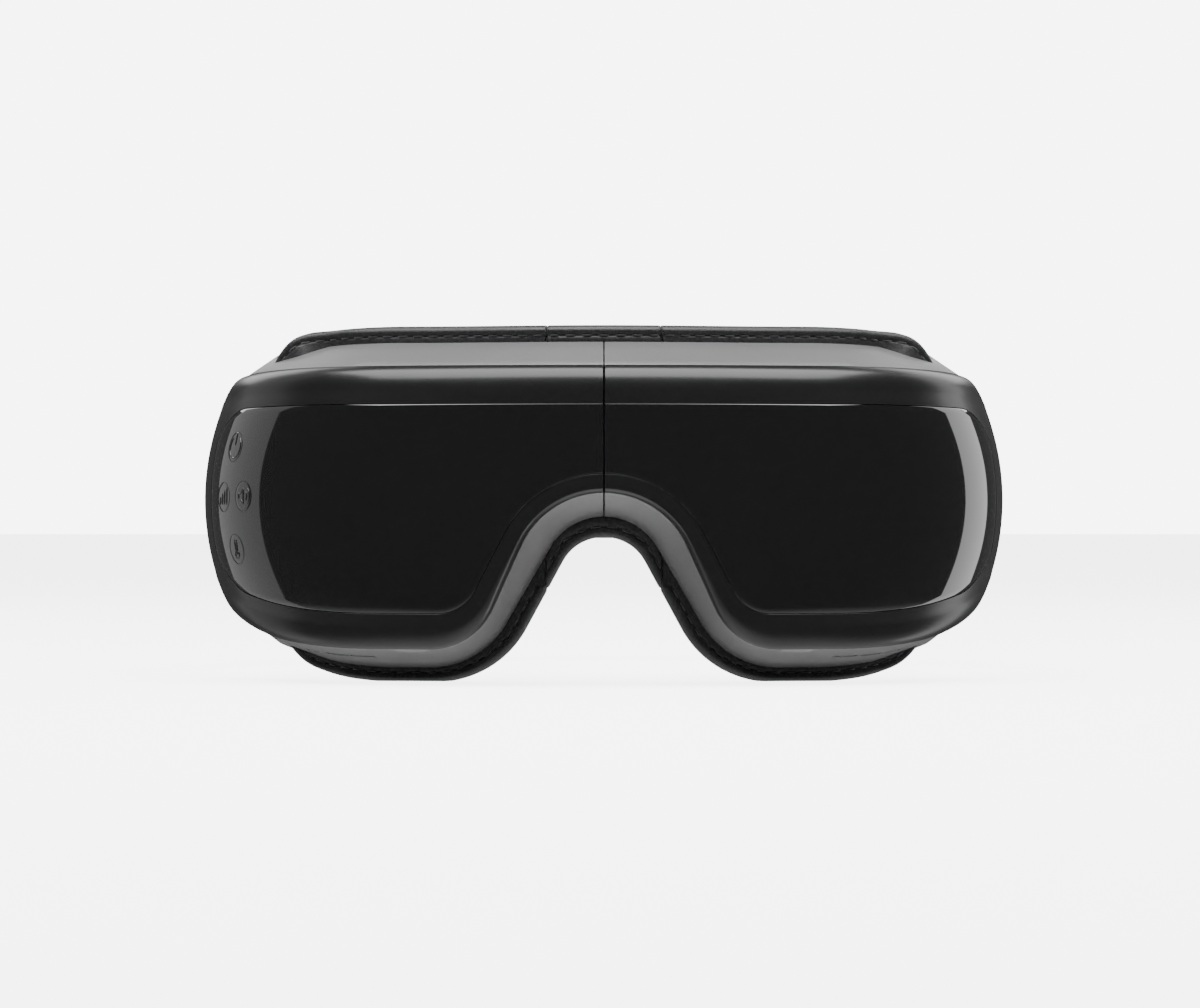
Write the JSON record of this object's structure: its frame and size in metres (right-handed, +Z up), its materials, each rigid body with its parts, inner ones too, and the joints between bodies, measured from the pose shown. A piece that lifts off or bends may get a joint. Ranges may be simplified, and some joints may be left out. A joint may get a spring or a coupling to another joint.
{
  "type": "eye massager mask",
  "caption": "Folding wrap-round eye mask with gloss visor, satin frame, padded leather gasket, sprung eye cushions, side keys and an elastic head strap.",
  "frame": {"origin": "middle of the footprint, on the surface that the mask stands on", "axes": "+X to the wearer's left, +Y back towards the wearer's face and strap, +Z up; the fold axis is vertical in the plane x = 0"},
  "size_m": [0.2034, 0.2042, 0.0886],
  "materials": {
    "gloss_black": "high gloss, moulded in black",
    "visor_black": "mirror-smooth black panel",
    "satin_grey": "satin grey coat on moulded plastic",
    "black_plastic": "fine matt grain",
    "leather_black": "soft black protein leather over foam",
    "cushion_fabric": "fine black stretch cloth over foam",
    "strap_webbing": "woven elastic webbing",
    "airbag_film": "translucent film",
    "tube_silicone": "soft silicone",
    "plate_metal": "satin anodised",
    "sink_metal": "extruded, plain",
    "ceramic_white": "white ceramic tile",
    "steel": "bright steel",
    "can_steel": "drawn steel can",
    "board_green": "glass-fibre board with green mask",
    "chip_black": "moulded epoxy",
    "cell_foil": "laminated foil pouch",
    "ribbon_amber": "amber film"
  },
  "bodies": {
    "right_half": {"front_cover_right": "gloss_black", "visor_right": "visor_black", "side_frame_right": "satin_grey", "rear_cover_right": "black_plastic", "case_screws_right": "steel", "face_gasket_right": "leather_black", "gasket_bridge": "leather_black", "airbag_tray_right": "black_plastic", "airbag_right": "airbag_film", "fan_frame_right": "black_plastic", "speaker_right": "black_plastic", "vibration_motor_right": "can_steel", "hinge_screws_right": "steel", "strap_anchor_right": "black_plastic", "key_board": "board_green", "key_switches": "steel", "main_board": "board_green", "board_chips": "chip_black", "charging_socket": "steel", "air_pump": "can_steel", "air_valve": "can_steel", "hinge_leaf_right": "steel", "hinge_pin": "steel", "link_tube": "tube_silicone", "link_cable": "ribbon_amber", "strap": "strap_webbing"},
    "left_half": {"front_cover_left": "gloss_black", "visor_left": "visor_black", "side_frame_left": "satin_grey", "rear_cover_left": "black_plastic", "case_screws_left": "steel", "face_gasket_left": "leather_black", "airbag_tray_left": "black_plastic", "airbag_left": "airbag_film", "fan_frame_left": "black_plastic", "speaker_left": "black_plastic", "vibration_motor_left": "can_steel", "hinge_screws_left": "steel", "strap_anchor_left": "black_plastic", "battery": "cell_foil", "hinge_leaf_left": "steel"},
    "eye_carriage_right": {"massage_plate_right": "plate_metal", "eye_cushion_right": "cushion_fabric", "thermo_module_right": "ceramic_white", "heat_sink_right": "sink_metal"},
    "eye_carriage_left": {"massage_plate_left": "plate_metal", "eye_cushion_left": "cushion_fabric", "thermo_module_left": "ceramic_white", "heat_sink_left": "sink_metal"},
    "fan_right": {"fan_rotor_right": "black_plastic"},
    "fan_left": {"fan_rotor_left": "black_plastic"},
    "weight_right": {"motor_weight_right": "steel"},
    "weight_left": {"motor_weight_left": "steel"},
    "crank": {"pump_crank": "steel"},
    "plunger": {"valve_plunger": "steel"},
    "power": {"power_key": "visor_black"},
    "mode": {"mode_key": "visor_black"},
    "sound": {"sound_key": "visor_black"},
    "temperature": {"temperature_key": "visor_black"},
    "slider": {"strap_slider": "black_plastic"}
  },
  "joints": [
    {"name": "fold", "type": "hinge", "parent": "right_half", "child": "left_half", "pos_m": [0, -0.07355, 0.062], "axis": [0, 0, 1], "range_deg": [0, 88], "deforming": ["gasket_bridge", "link_tube", "link_cable", "strap"]},
    {"name": "eye_carriage_right_slide", "type": "slide", "parent": "right_half", "child": "eye_carriage_right", "axis": [0.261, 0.9653, 0], "range_m": [0, 0.005], "stiffness_N_per_m": 300, "springref_m": -0.001, "deforming": ["airbag_right"]},
    {"name": "fan_right_spin", "type": "hinge", "parent": "right_half", "child": "fan_right", "pos_m": [-0.05129, -0.08734, 0.05], "axis": [0.261, 0.9653, 0], "continuous": true},
    {"name": "weight_right_spin", "type": "hinge", "parent": "right_half", "child": "weight_right", "pos_m": [-0.07955, -0.06205, 0.0695], "axis": [-0.5734, 0.8193, 0], "continuous": true},
    {"name": "eye_carriage_left_slide", "type": "slide", "parent": "left_half", "child": "eye_carriage_left", "axis": [-0.261, 0.9653, 0], "range_m": [0, 0.005], "stiffness_N_per_m": 300, "springref_m": -0.001, "deforming": ["airbag_left"]},
    {"name": "fan_left_spin", "type": "hinge", "parent": "left_half", "child": "fan_left", "pos_m": [0.05129, -0.08734, 0.05], "axis": [-0.261, 0.9653, 0], "continuous": true},
    {"name": "weight_left_spin", "type": "hinge", "parent": "left_half", "child": "weight_left", "pos_m": [0.07955, -0.06205, 0.0695], "axis": [0.5734, 0.8193, 0], "continuous": true},
    {"name": "crank_spin", "type": "hinge", "parent": "right_half", "child": "crank", "pos_m": [-0.0127, -0.08291, 0.062], "axis": [0, 0, 1], "continuous": true},
    {"name": "plunger_slide", "type": "slide", "parent": "right_half", "child": "plunger", "axis": [0.6366, -0.7712, 0], "range_m": [0, 0.0012], "stiffness_N_per_m": 200, "springref_m": -0.0005},
    {"name": "power_key_press", "type": "slide", "parent": "right_half", "child": "power", "axis": [0.8573, 0.5148, 0], "range_m": [0, 0.0006], "stiffness_N_per_m": 2500, "springref_m": -0.0002},
    {"name": "mode_key_press", "type": "slide", "parent": "right_half", "child": "mode", "axis": [0.8897, 0.4566, 0], "range_m": [0, 0.0006], "stiffness_N_per_m": 2500, "springref_m": -0.0002},
    {"name": "sound_key_press", "type": "slide", "parent": "right_half", "child": "sound", "axis": [0.8026, 0.5966, 0], "range_m": [0, 0.0006], "stiffness_N_per_m": 2500, "springref_m": -0.0002},
    {"name": "temperature_key_press", "type": "slide", "parent": "right_half", "child": "temperature", "axis": [0.8482, 0.5297, 0], "range_m": [0, 0.0006], "stiffness_N_per_m": 2500, "springref_m": -0.0002},
    {"name": "slider_slide", "type": "slide", "parent": "right_half", "child": "slider", "axis": [-0.1045, 0.9945, 0], "range_m": [0, 0.013]}
  ]
}
